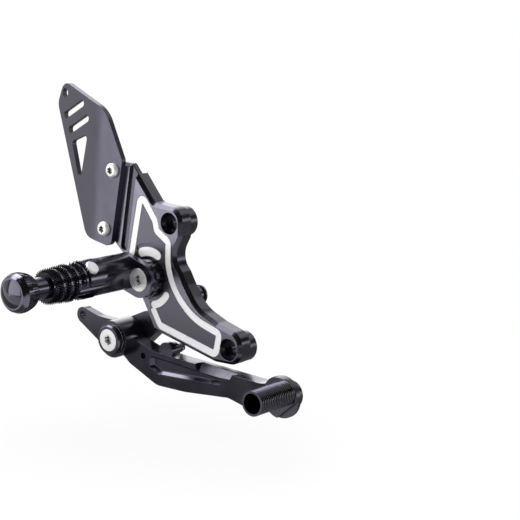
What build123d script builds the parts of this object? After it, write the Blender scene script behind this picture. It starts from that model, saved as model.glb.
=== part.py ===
from build123d import *
from math import asin, cos, degrees, hypot, radians, sin
import os

# Rear-set footrest for the brake side of a motorbike, all sizes in millimetres.
# +X points forward, +Y inboard to the motorbike's frame, +Z up.
# The origin is midway between the two frame bolts, on the face that meets the frame.

# Frame fixing
bolt_spacing = 95.0
bolt_line_angle = 123.1
bolt_hole_radius = 4.25
boss_radius = 10.3
counterbore_radius = 7.5
counterbore_depth = 9.0

# Bracket plate
bracket_depth = 18.0
plate_thickness = 11.0
bevel = 2.4
tab_thickness = 6.0
accent_width = 5.2
accent_depth = 0.4
panel_depth = 0.15
arc_groove_width = 1.0
arc_groove_crown = 1.4
arc_groove_depth = 1.0
relief_width = 6.4
relief_depth = 2.0

# Heel guard and its screws
guard_reach = 64.1
guard_rise = 58.9
guard_front = 8.8
guard_foot = 12.5
guard_thickness = 4.0
guard_bend_angle = 12.0
guard_bend_radius = 50.0
guard_bend_lean = 4.9
guard_screw_x = -73.6
guard_screw_z = 72.6
guard_screw_pitch = 42.6
guard_screw_lean = 12.5
guard_screw_radius = 3.0
guard_head_radius = 5.25
guard_head_height = 3.2
guard_slot_width = 5.0
guard_slot_length = 27.3
guard_slot_angle = 25.0
guard_tip_hole_radius = 3.4

# Peg carrier
carrier_x = -44.8
carrier_z = 0.4
foot_radius = 13.5
foot_height = 6.5
seat_margin = 1.2
seat_depth = 1.0
scallop_count = 12
scallop_radius = 1.7
arm_thickness = 4.5
arm_radius = 12.4
carrier_bolt_radius = 4.0
carrier_head_radius = 8.0

# Footpeg and its hinge
peg_x = -58.5
peg_z = 5.0
neck_radius = 12.5
pin_distance = 50.0
fork_radius = 13.0
slot_width = 12.4
tongue_width = 8.2
slot_reach = 12.6
pin_radius = 3.0
pin_head_radius = 4.75
pin_head_height = 2.2
pin_seat_depth = 1.1
spring_wire = 1.4
spring_leg = 7.0
clip_thickness = 0.8
clip_bore_radius = 2.3
tongue_half = 10.4
grip_start = 4.5
grip_length = 30.5
grip_root_radius = 12.2
grip_tip_radius = 10.2
band_count = 5
band_gap = 1.5
band_depth = 1.2
ridges_per_band = 3
knurl_depth = 0.6
ridge_depth = 0.2

# End knob
knob_neck_radius = 7.5
knob_neck_length = 11.6
knob_length = 16.5
knob_radius = 13.0
cap_radius = 9.4
cap_thickness = 2.2
cap_dome = 2.0
knob_bolt_radius = 3.0
knob_bolt_reach = 16.0
knob_head_radius = 5.0
knob_head_height = 5.0

# Brake lever and its pivot
pivot_x = -67.5
pivot_z = -43.8
lug_radius = 12.0
lug_thickness = 10.0
lug_setback = 5.4
hub_radius = 13.0
hub_length = 19.0
arm_depth = 11.0
rear_arm_depth = 6.0
bearing_radius = 10.5
bearing_width = 5.0
bearing_shoulder = 1.2
sleeve_radius = 6.0
pivot_bolt_radius = 4.0
washer_radius = 10.5
washer_thickness = 3.7
pivot_head_radius = 7.7
eye_radius = 3.05
eye_x = -103.8
eye_z = -33.0
eye_lug_radius = 5.9
light_hole_radius = 2.2
scoop_start = 69.0
scoop_length = 34.0
scoop_width = 12.0
pocket_depth = 3.2
pocket_slope = 32.0

# Toe piece
toe_x = 75.4
toe_z = -62.3
toe_lug_radius = 9.5
toe_disc_radius = 14.0
toe_disc_thickness = 5.0
toe_disc_proud = 2.0
toe_disc_bevel = 0.8
toe_tube_floor = 1.0
toe_flat = 9.2
toe_flat_angle = -50.0
toe_flat_depth = 2.6
toe_offset_x = 5.5
toe_offset_z = 4.4
toe_tube_radius = 8.15
toe_tube_bore = 6.7
toe_tube_length = 34.0
toe_rib_count = 19
toe_rib_depth = 0.7
toe_bolt_radius = 4.0
toe_bolt_head_radius = 6.5
toe_bolt_head_height = 4.4

# Return spring
post_x = -13.6
post_z = -10.0
spring_pin_x = -30.0
spring_pin_z = -49.5
spring_y = -3.2
spring_radius = 2.3
return_wire = 1.2
coil_turns = 24
post_groove_radius = 3.5
post_flange_radius = 6.8
post_stud_radius = 3.0
post_stud_depth = 5.0
spring_pin_groove_radius = 2.0
spring_pin_radius = 2.5
spring_pin_collar_radius = 5.5
spring_pin_collar_height = 4.0
spring_pin_stud_depth = 4.0
spring_lobe_radius = 6.3
spring_lobe_depth = 5.0

# Clearances
turn_gap = 0.4
bearing_play = 0.05
pin_play = 0.05
side_gap = 0.2
fold_gap = 0.3

# Derived places
upper_x = bolt_spacing / 2 * cos(radians(bolt_line_angle))
upper_z = bolt_spacing / 2 * sin(radians(bolt_line_angle))
lower_x = -upper_x
lower_z = -upper_z
face_y = -bracket_depth
back_y = face_y + plate_thickness
pace = bolt_spacing / 100  # the step that the bracket's outlines are drawn in
guard_y = face_y - guard_thickness
low_screw_x = guard_screw_x - guard_screw_pitch * sin(radians(guard_screw_lean))
low_screw_z = guard_screw_z - guard_screw_pitch * cos(radians(guard_screw_lean))
seat_y = face_y + seat_depth
foot_y = face_y - foot_height
arm_y = foot_y - arm_thickness
pin_y = face_y - pin_distance
pin_seat = fork_radius - pin_seat_depth
tongue_reach = slot_reach - fold_gap
grip_y = pin_y - grip_start
grip_end_y = grip_y - grip_length
knob_y = grip_end_y - knob_neck_length
knob_end_y = knob_y - knob_length
lug_y = face_y + lug_setback
lever_y = lug_y - turn_gap
lever_face_y = lever_y - arm_depth
hub_face_y = lever_y - hub_length
sleeve_end_y = hub_face_y - turn_gap
washer_face_y = sleeve_end_y - washer_thickness
toe_face_y = lever_face_y - toe_disc_proud
toe_seat_y = toe_face_y + toe_disc_thickness
toe_tube_x = toe_x + toe_offset_x
toe_tube_z = toe_z + toe_offset_z
toe_end_y = toe_face_y - toe_tube_length
lever_reach = toe_x - pivot_x
eye_reach = pivot_x - eye_x


def facing_out(y):
    """Plane at a given Y whose sketch axes are X and Z, growing outboard."""
    return Plane(origin=(0, y, 0), x_dir=(1, 0, 0), z_dir=(0, -1, 0))


def turning(x, z):
    """Plane through an axis along Y: sketch X is the radius, sketch Y is the world's Y."""
    return Plane(origin=(x, 0, z), x_dir=(1, 0, 0), z_dir=(0, 0, 1))


def along_y(x, z):
    """Axis along Y through a point of the XZ plane."""
    return Axis((x, 0, z), (0, 1, 0))


def star_socket(radius):
    """Six-lobed socket, drawn in the open sketch."""
    Circle(radius)
    with PolarLocations(radius * 1.07, 6):
        Circle(radius * 0.28, mode=Mode.SUBTRACT)


# The hinge pin leans forward and up at half a right angle.
# Sketch X of its plane points forward and down, sketch Y along the world's Y.
hinge = Plane(origin=(peg_x, pin_y, peg_z), x_dir=(1, 0, -1), z_dir=(1, 0, 1))
hinge_axis = Axis((peg_x, pin_y, peg_z), (1, 0, 1))

# Base bracket
plate_turns = (5.26, 3.16, 5.26, 10.32, 5.26, 14.74, 12.63, 4.21, 12.63, 29.47, 8.42, 10.32, 10.32)
plate_turns += (8.42, 5.26, 4.21, 5.26, 6.32)
accent_turns = (3.16, 4.21, 3.16, 3.16, 35.79, 46.32, 46.32, 3.16, 3.68, 4.21)
crown_radius = foot_radius + 4.95 * pace
crown_width = accent_width * 1.2
crown_start = 54
crown_sweep = 68
crown_cap = degrees(crown_width / 2 / crown_radius)
with BuildPart() as base_bracket:
    with BuildSketch(facing_out(back_y)):
        with BuildLine():
            FilletPolyline(
                (guard_screw_x - 9.05 * pace, guard_screw_z + 7.26 * pace),
                (upper_x - 36.42 * pace, upper_z + 40 * pace),
                (upper_x - 14.74 * pace, upper_z + 13.26 * pace),
                (upper_x + boss_radius, upper_z + boss_radius),
                (upper_x + boss_radius, upper_z - 9.47 * pace),
                (upper_x + 5.26 * pace, upper_z - 18.95 * pace),
                (upper_x + 5.47 * pace, upper_z - 28.42 * pace),
                (upper_x + 10.32 * pace, upper_z - 34 * pace),
                (upper_x + 15.26 * pace, upper_z - 42.84 * pace),
                (lower_x - 28.95 * pace, lower_z + 25.58 * pace),
                (lower_x - 10.53 * pace, lower_z + 17.37 * pace),
                (lower_x + boss_radius, lower_z + boss_radius),
                (lower_x + boss_radius, lower_z - boss_radius),
                (lower_x - 13.68 * pace, lower_z - boss_radius),
                (pivot_x + 26.84 * pace, pivot_z + 8 * pace),
                (pivot_x + 19.47 * pace, pivot_z + 22.11 * pace),
                (low_screw_x + 13.89 * pace, low_screw_z - 18.95 * pace),
                (low_screw_x - 5.89 * pace, low_screw_z - 1.05 * pace),
                radius=[pace * turn for turn in plate_turns],
                close=True,
            )
        make_face()
    extrude(amount=plate_thickness - bevel)
    extrude(base_bracket.faces().sort_by(Axis.Y)[0], amount=bevel, taper=45)
    # The tab under the heel guard is thinner than the plate.
    with BuildSketch(facing_out(back_y)):
        with BuildLine():
            Polyline(
                (carrier_x - 21.05 * pace, carrier_z + 9.47 * pace),
                (upper_x - 32.63 * pace, upper_z + 32.63 * pace),
                (upper_x - 15.79 * pace, upper_z + 34.74 * pace),
                (upper_x - 15.79 * pace, upper_z + 63.16 * pace),
                (guard_screw_x - 31.58 * pace, guard_screw_z + 31.58 * pace),
                (low_screw_x - 31.58 * pace, carrier_z + 9.47 * pace),
                close=True,
            )
        make_face()
    extrude(amount=plate_thickness - tab_thickness, mode=Mode.SUBTRACT)
    # Bosses that meet the frame
    with BuildSketch(facing_out(0)):
        with Locations((upper_x, upper_z), (lower_x, lower_z)):
            Circle(boss_radius)
    extrude(amount=plate_thickness)
    # Lug for the lever's pivot
    with BuildSketch(facing_out(lug_y + lug_thickness)):
        with Locations((pivot_x, pivot_z)):
            Circle(lug_radius)
        with Locations((pivot_x + 16.84 * pace, pivot_z + 10.53 * pace)):
            Circle(lug_radius * 0.75)
        make_hull()
    extrude(amount=lug_thickness)
    # Frame bolt holes with counterbores
    with Locations(facing_out(face_y)):
        with Locations((upper_x, upper_z), (lower_x, lower_z)):
            CounterBoreHole(bolt_hole_radius, counterbore_radius, counterbore_depth)
    # Relief groove beside the heel guard
    with BuildSketch(facing_out(face_y)):
        with BuildLine():
            relief_line = Line(
                (upper_x - 32.63 * pace, upper_z + 44.21 * pace),
                (low_screw_x + 15.79 * pace, low_screw_z - 11.58 * pace),
            )
        trace(line_width=relief_width)
        with Locations(relief_line @ 1):
            Circle(relief_width / 2)
    extrude(amount=-relief_depth, mode=Mode.SUBTRACT)
    # Round seat for the carrier's foot
    with BuildSketch(facing_out(face_y)):
        with Locations((carrier_x, carrier_z)):
            Circle(foot_radius + seat_margin)
    extrude(amount=-seat_depth, mode=Mode.SUBTRACT)
    # Panel inside the accent line, a touch below the face
    with BuildSketch(facing_out(face_y)):
        with BuildLine():
            accent_path = FilletPolyline(
                (carrier_x - 17.89 * pace, carrier_z + 13.26 * pace),
                (upper_x - 27.16 * pace, upper_z + 19.16 * pace),
                (upper_x - 13.68 * pace, upper_z + 0.74 * pace),
                (upper_x - 12.11 * pace, upper_z - 6.32 * pace),
                (upper_x - 1.05 * pace, upper_z - 13.47 * pace),
                (upper_x - 1.68 * pace, upper_z - 30 * pace),
                (upper_x + 4 * pace, upper_z - 48.95 * pace),
                (lower_x - 31.89 * pace, lower_z + 17.68 * pace),
                (lower_x - 8.3 * pace, lower_z + 10.3 * pace),
                (lower_x - 11.6 * pace, lower_z - 5.2 * pace),
                (pivot_x + 33.68 * pace, pivot_z + 12.63 * pace),
                (pivot_x + 26.84 * pace, pivot_z + 24.53 * pace),
                radius=[pace * turn for turn in accent_turns],
            )
            Line(accent_path @ 1, accent_path @ 0)
        make_face()
    extrude(amount=-panel_depth, mode=Mode.SUBTRACT)
    # Accent line and two arcs milled through the finish
    with BuildSketch(facing_out(face_y)):
        with BuildLine():
            add(accent_path)
        trace(line_width=accent_width)
        for arc_radius, arc_width, start, sweep_angle in (
            (foot_radius + 5.68 * pace, accent_width, -78, 44),
            (crown_radius, crown_width, crown_start + crown_cap, crown_sweep - 2 * crown_cap),
        ):
            with BuildLine():
                inner_arc = CenterArc((carrier_x, carrier_z), arc_radius - arc_width / 2, start, sweep_angle)
                outer_arc = CenterArc((carrier_x, carrier_z), arc_radius + arc_width / 2, start, sweep_angle)
                Line(inner_arc @ 0, outer_arc @ 0)
                Line(inner_arc @ 1, outer_arc @ 1)
            make_face()
            with Locations((inner_arc @ 0 + outer_arc @ 0) / 2, (inner_arc @ 1 + outer_arc @ 1) / 2):
                Circle(arc_width / 2)
    extrude(amount=-accent_depth, mode=Mode.SUBTRACT)
    # Deeper groove over the upper arc, widest at its crown
    groove_radius = crown_radius + crown_width / 2
    with BuildSketch(facing_out(face_y)):
        with BuildLine():
            lower_edge = CenterArc((carrier_x, carrier_z), groove_radius, crown_start, crown_sweep)
            upper_edge = CenterArc(
                (carrier_x, carrier_z + arc_groove_crown),
                groove_radius + arc_groove_width,
                crown_start,
                crown_sweep,
            )
            Line(lower_edge @ 0, upper_edge @ 0)
            Line(lower_edge @ 1, upper_edge @ 1)
        make_face()
    extrude(amount=-arc_groove_depth, mode=Mode.SUBTRACT)
    # Tapped holes for the carrier, the guard, the pivot and the spring post
    with Locations(facing_out(face_y)):
        with Locations((carrier_x, carrier_z)):
            Hole(carrier_bolt_radius)
        with Locations((guard_screw_x, guard_screw_z), (low_screw_x, low_screw_z)):
            Hole(guard_screw_radius)
        with Locations((pivot_x, pivot_z)):
            Hole(pivot_bolt_radius)
    with BuildSketch(facing_out(back_y)):
        with Locations((post_x, post_z)):
            Circle(post_stud_radius)
    extrude(amount=post_stud_depth, mode=Mode.SUBTRACT)
base_bracket.part.label = "base_bracket"

# Heel guard, a sheet bent inboard behind its screws
sheet_span = guard_reach + guard_rise
bend_turn = radians(guard_bend_angle)
bend_lean = radians(guard_bend_lean)
bend_x = guard_screw_x - guard_reach * 0.287
bend_z = (guard_screw_z + low_screw_z) / 2
bend_plane = Plane(
    origin=(bend_x, face_y - guard_thickness / 2, bend_z),
    x_dir=(cos(bend_lean), 0, -sin(bend_lean)),
    z_dir=(sin(bend_lean), 0, cos(bend_lean)),
)
with BuildPart() as heel_guard:
    with BuildSketch(bend_plane):
        with BuildLine():
            FilletPolyline(
                (sheet_span, 0),
                (0, 0),
                (-sheet_span * cos(bend_turn), sheet_span * sin(bend_turn)),
                radius=guard_bend_radius,
            )
        trace(line_width=guard_thickness)
    extrude(amount=sheet_span, both=True)
    with BuildSketch(facing_out(0)):
        with BuildLine():
            FilletPolyline(
                (guard_screw_x - guard_reach * 0.869, guard_screw_z + guard_rise),
                (guard_screw_x - guard_reach, guard_screw_z + guard_rise * 0.72),
                (low_screw_x - guard_foot * 1.63, low_screw_z - guard_foot * 0.56),
                (low_screw_x + guard_foot * 0.45, low_screw_z - guard_foot),
                (guard_screw_x + guard_front, guard_screw_z + guard_front * 0.83),
                (guard_screw_x - guard_front * 0.76, guard_screw_z + guard_rise * 0.711),
                radius=[8, 9, 10, 5, 4, 20],
                close=True,
            )
        make_face()
    extrude(amount=sheet_span, both=True, mode=Mode.INTERSECT)
    with BuildSketch(facing_out(0)):
        with Locations((guard_screw_x, guard_screw_z), (low_screw_x, low_screw_z)):
            Circle(guard_screw_radius + side_gap)
        with Locations((guard_screw_x - guard_reach * 0.848, guard_screw_z + guard_rise * 0.851)):
            Circle(guard_tip_hole_radius)
        with Locations(
            (guard_screw_x - guard_reach * 0.679, guard_screw_z + guard_rise * 0.669),
            (guard_screw_x - guard_reach * 0.587, guard_screw_z + guard_rise * 0.497),
        ):
            SlotOverall(guard_slot_length, guard_slot_width, rotation=guard_slot_angle)
        with BuildLine():
            FilletPolyline(
                (guard_screw_x - guard_reach * 0.413, guard_screw_z + guard_rise * 0.399),
                (guard_screw_x - guard_reach * 0.725, guard_screw_z + guard_rise * 0.28),
                (guard_screw_x - guard_reach * 0.577, guard_screw_z - guard_rise * 0.225),
                radius=guard_slot_width / 2,
                close=True,
            )
        make_face()
    extrude(amount=sheet_span, both=True, mode=Mode.SUBTRACT)
heel_guard.part.label = "heel_guard"

# Heel guard screws with domed heads
with BuildPart() as heel_guard_screws:
    with BuildSketch(facing_out(face_y + tab_thickness)):
        with Locations((guard_screw_x, guard_screw_z), (low_screw_x, low_screw_z)):
            Circle(guard_screw_radius)
    extrude(amount=tab_thickness + guard_thickness)
    with BuildSketch(facing_out(guard_y)):
        with Locations((guard_screw_x, guard_screw_z), (low_screw_x, low_screw_z)):
            Circle(guard_head_radius)
    extrude(amount=guard_head_height)
    fillet(heel_guard_screws.edges().group_by(Axis.Y)[0], guard_head_height * 0.7)
    with BuildSketch(facing_out(guard_y - guard_head_height)):
        with Locations((guard_screw_x, guard_screw_z), (low_screw_x, low_screw_z)):
            star_socket(guard_screw_radius * 0.87)
    extrude(amount=-guard_head_height * 0.7, mode=Mode.SUBTRACT)
heel_guard_screws.part.label = "heel_guard_screws"

# Peg carrier
with BuildPart() as peg_carrier:
    with BuildSketch(facing_out(seat_y)):
        with Locations((carrier_x, carrier_z)):
            Circle(foot_radius)
            with PolarLocations(foot_radius + scallop_radius * 0.4, scallop_count):
                Circle(scallop_radius, mode=Mode.SUBTRACT)
    extrude(amount=foot_height + seat_depth)
    with BuildSketch(facing_out(foot_y)):
        with Locations((carrier_x, carrier_z)):
            Circle(arm_radius)
        with Locations((peg_x, peg_z)):
            Circle(neck_radius)
        make_hull()
    extrude(amount=arm_thickness)
    with BuildSketch(facing_out(arm_y)):
        with Locations((peg_x, peg_z)):
            Circle(neck_radius)
    extrude(amount=arm_y - pin_y - fork_radius / 2)
    # Room for the bolt's head and the spanner beside the neck
    with BuildSketch(facing_out(arm_y)):
        with Locations((carrier_x, carrier_z)):
            Circle(carrier_head_radius + fold_gap)
    extrude(amount=pin_distance, mode=Mode.SUBTRACT)
    # Room for the fork's ears as the peg folds
    with BuildSketch(hinge):
        Circle(fork_radius + fold_gap)
        with Locations((-fork_radius, 0)):
            Rectangle(2 * fork_radius, 2 * (fork_radius + fold_gap))
    extrude(amount=2 * fork_radius, both=True, mode=Mode.SUBTRACT)
    # Hinge tongue: square on the side that stops the peg, round on the other
    with BuildSketch(hinge.offset(slot_width / 2 - side_gap - tongue_width)):
        with BuildLine():
            tongue_arc = CenterArc((0, 0), tongue_reach, 270, -degrees(asin(tongue_half / tongue_reach)))
            Polyline(
                tongue_arc @ 1,
                (-tongue_half, fork_radius + neck_radius / 2),
                (tongue_half, fork_radius + neck_radius / 2),
                (tongue_half, -tongue_reach),
                tongue_arc @ 0,
            )
        make_face()
    extrude(amount=tongue_width)
    with BuildSketch(hinge):
        Circle(pin_radius + pin_play)
    extrude(amount=fork_radius, both=True, mode=Mode.SUBTRACT)
    with Locations(facing_out(arm_y)):
        with Locations((carrier_x, carrier_z)):
            CounterSinkHole(carrier_bolt_radius, carrier_head_radius, counter_sink_angle=90)
peg_carrier.part.label = "peg_carrier"

# Carrier bolt
with BuildPart() as carrier_bolt:
    with BuildSketch(turning(carrier_x, carrier_z)):
        with BuildLine():
            Polyline(
                (0, arm_y),
                (carrier_head_radius, arm_y),
                (carrier_bolt_radius, arm_y + carrier_head_radius - carrier_bolt_radius),
                (carrier_bolt_radius, back_y),
                (0, back_y),
                close=True,
            )
        make_face()
    revolve(axis=along_y(carrier_x, carrier_z))
    with BuildSketch(facing_out(arm_y)):
        with Locations((carrier_x, carrier_z)):
            star_socket(carrier_head_radius * 0.45)
    extrude(amount=-carrier_bolt_radius * 0.85, mode=Mode.SUBTRACT)
carrier_bolt.part.label = "carrier_bolt"

# Footpeg: a turned body, then the fork's slot, ears and pin holes
band_length = (grip_length - (band_count - 1) * band_gap) / band_count
ridge_pitch = band_length / ridges_per_band


def grip_radius(y):
    """Radius of the tapered grip at a given Y."""
    return grip_root_radius + (grip_tip_radius - grip_root_radius) * (grip_y - y) / grip_length


with BuildPart() as footpeg:
    grip_points = []
    for band in range(band_count):
        band_y = grip_y - band * (band_length + band_gap)
        for ridge in range(ridges_per_band):
            ridge_y = band_y - ridge * ridge_pitch
            grip_points.append((grip_radius(ridge_y) - knurl_depth, ridge_y))
            ridge_top = grip_radius(ridge_y) - knurl_depth + ridge_depth
            grip_points.append((ridge_top, ridge_y - ridge_pitch * 0.35))
            grip_points.append((ridge_top, ridge_y - ridge_pitch * 0.65))
        grip_points.append((grip_radius(band_y) - knurl_depth, band_y - band_length))
        grip_points.append((grip_radius(band_y) - band_depth, band_y - band_length))
        if band < band_count - 1:
            grip_points.append((grip_radius(band_y) - band_depth, band_y - band_length - band_gap))
    with BuildSketch(turning(peg_x, peg_z)):
        with BuildLine():
            Polyline(
                (0, pin_y + fork_radius),
                (fork_radius, pin_y + fork_radius),
                (fork_radius, grip_y),
                *grip_points,
                (0, grip_end_y),
                close=True,
            )
        make_face()
    revolve(axis=along_y(peg_x, peg_z))
    with BuildSketch(hinge):
        with Locations((0, fork_radius)):
            Rectangle(4 * fork_radius, 2 * fork_radius)
        Circle(fork_radius, mode=Mode.SUBTRACT)
    extrude(amount=2 * fork_radius, both=True, mode=Mode.SUBTRACT)
    with BuildSketch(hinge):
        with Locations((0, fork_radius - slot_reach / 2)):
            Rectangle(4 * fork_radius, 2 * fork_radius + slot_reach)
    extrude(amount=slot_width / 2, both=True, mode=Mode.SUBTRACT)
    with BuildSketch(hinge):
        Circle(pin_radius)
    extrude(amount=2 * fork_radius, both=True, mode=Mode.SUBTRACT)
    with BuildSketch(hinge.offset(pin_seat), hinge.offset(-pin_seat - fork_radius)):
        Circle(pin_head_radius + fold_gap)
    extrude(amount=fork_radius, mode=Mode.SUBTRACT)
    with BuildSketch(facing_out(grip_end_y)):
        with Locations((peg_x, peg_z)):
            Circle(knob_bolt_radius)
    extrude(amount=-knob_bolt_reach, mode=Mode.SUBTRACT)
footpeg.part.label = "footpeg"

# Hinge pin, headed at one end and grooved at the other
clip_y = -pin_seat - clip_thickness
with BuildPart() as peg_hinge_pin:
    with BuildSketch(hinge.offset(clip_y - clip_thickness)):
        Circle(pin_radius)
    extrude(amount=pin_seat - clip_y + clip_thickness)
    with BuildSketch(hinge.offset(pin_seat)):
        Circle(pin_head_radius)
    extrude(amount=pin_head_height)
    chamfer(peg_hinge_pin.faces().sort_by(hinge_axis)[-1].edges(), pin_head_height / 4)
    with BuildSketch(hinge.offset(clip_y)):
        Circle(pin_radius)
        Circle(clip_bore_radius, mode=Mode.SUBTRACT)
    extrude(amount=clip_thickness, mode=Mode.SUBTRACT)
peg_hinge_pin.part.label = "peg_hinge_pin"

# Retaining clip, open at one side
with BuildPart() as hinge_clip:
    with BuildSketch(hinge.offset(clip_y)):
        Circle(pin_head_radius)
        Circle(clip_bore_radius, mode=Mode.SUBTRACT)
        with Locations((0, -pin_head_radius)):
            Rectangle(clip_bore_radius * 1.6, 2 * pin_head_radius, mode=Mode.SUBTRACT)
    extrude(amount=clip_thickness)
hinge_clip.part.label = "hinge_clip"

# Torsion spring beside the tongue
coil_radius = pin_radius + spring_wire
coil_start = hinge.offset(-slot_width / 2 + side_gap + spring_wire / 2)
with BuildPart() as peg_return_spring:
    with BuildLine():
        peg_coil = Helix(
            spring_wire * 1.1,
            spring_wire * 1.6,
            coil_radius,
            center=coil_start.origin,
            direction=coil_start.z_dir,
        )
    with BuildSketch(Plane(origin=peg_coil @ 0, z_dir=peg_coil % 0)):
        Circle(spring_wire / 2)
    sweep(path=peg_coil, is_frenet=True)
    # The legs leave the coil level, square to the pin.
    for leg_end, leg_way in ((0, -1), (1, 1)):
        radial = peg_coil @ leg_end - coil_start.origin
        with Locations(Plane(origin=peg_coil @ leg_end, z_dir=hinge_axis.direction.cross(radial) * leg_way)):
            Cylinder(spring_wire / 2, spring_leg, align=(Align.CENTER, Align.CENTER, Align.MIN))
peg_return_spring.part.label = "peg_return_spring"

# End knob with its neck
cap_y = knob_end_y + cap_thickness
head_y = cap_y + knob_head_height
with BuildPart() as peg_end_knob:
    with BuildSketch(turning(peg_x, peg_z)):
        with BuildLine():
            Polyline(
                (knob_bolt_radius + side_gap, grip_end_y),
                (knob_neck_radius, grip_end_y),
                (knob_neck_radius, knob_y),
                (knob_radius * 0.66, knob_y),
                (knob_radius * 0.87, knob_y - knob_length * 0.2),
                (knob_radius, knob_y - knob_length * 0.55),
                (knob_radius, knob_y - knob_length * 0.76),
                (knob_radius * 0.93, knob_y - knob_length * 0.91),
                (knob_radius * 0.8, knob_end_y),
                (cap_radius, knob_end_y),
                (cap_radius, cap_y),
                (knob_head_radius + side_gap, cap_y),
                (knob_head_radius + side_gap, head_y),
                (knob_bolt_radius + side_gap, head_y),
                close=True,
            )
        make_face()
    revolve(axis=along_y(peg_x, peg_z))
peg_end_knob.part.label = "peg_end_knob"

# Screw that holds the knob, under the cap
with BuildPart() as knob_bolt:
    with BuildSketch(facing_out(grip_end_y + knob_bolt_reach)):
        with Locations((peg_x, peg_z)):
            Circle(knob_bolt_radius)
    extrude(amount=grip_end_y + knob_bolt_reach - head_y)
    with BuildSketch(facing_out(head_y)):
        with Locations((peg_x, peg_z)):
            Circle(knob_head_radius)
    extrude(amount=knob_head_height - side_gap)
    with BuildSketch(facing_out(cap_y + side_gap)):
        with Locations((peg_x, peg_z)):
            RegularPolygon(knob_bolt_radius * 0.83, 6, major_radius=False)
    extrude(amount=-knob_head_height / 2, mode=Mode.SUBTRACT)
knob_bolt.part.label = "knob_bolt"

# Domed cap
dome_radius = (cap_radius**2 + cap_dome**2) / (2 * cap_dome)
dome_angle = degrees(asin(cap_radius / dome_radius))
with BuildPart() as peg_end_cap:
    with BuildSketch(turning(peg_x, peg_z)):
        with BuildLine():
            dome = CenterArc((0, knob_end_y - cap_dome + dome_radius), dome_radius, 270, dome_angle)
            Polyline(dome @ 1, (cap_radius, cap_y), (0, cap_y), dome @ 0)
        make_face()
    revolve(axis=along_y(peg_x, peg_z))
peg_end_cap.part.label = "peg_end_cap"

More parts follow.
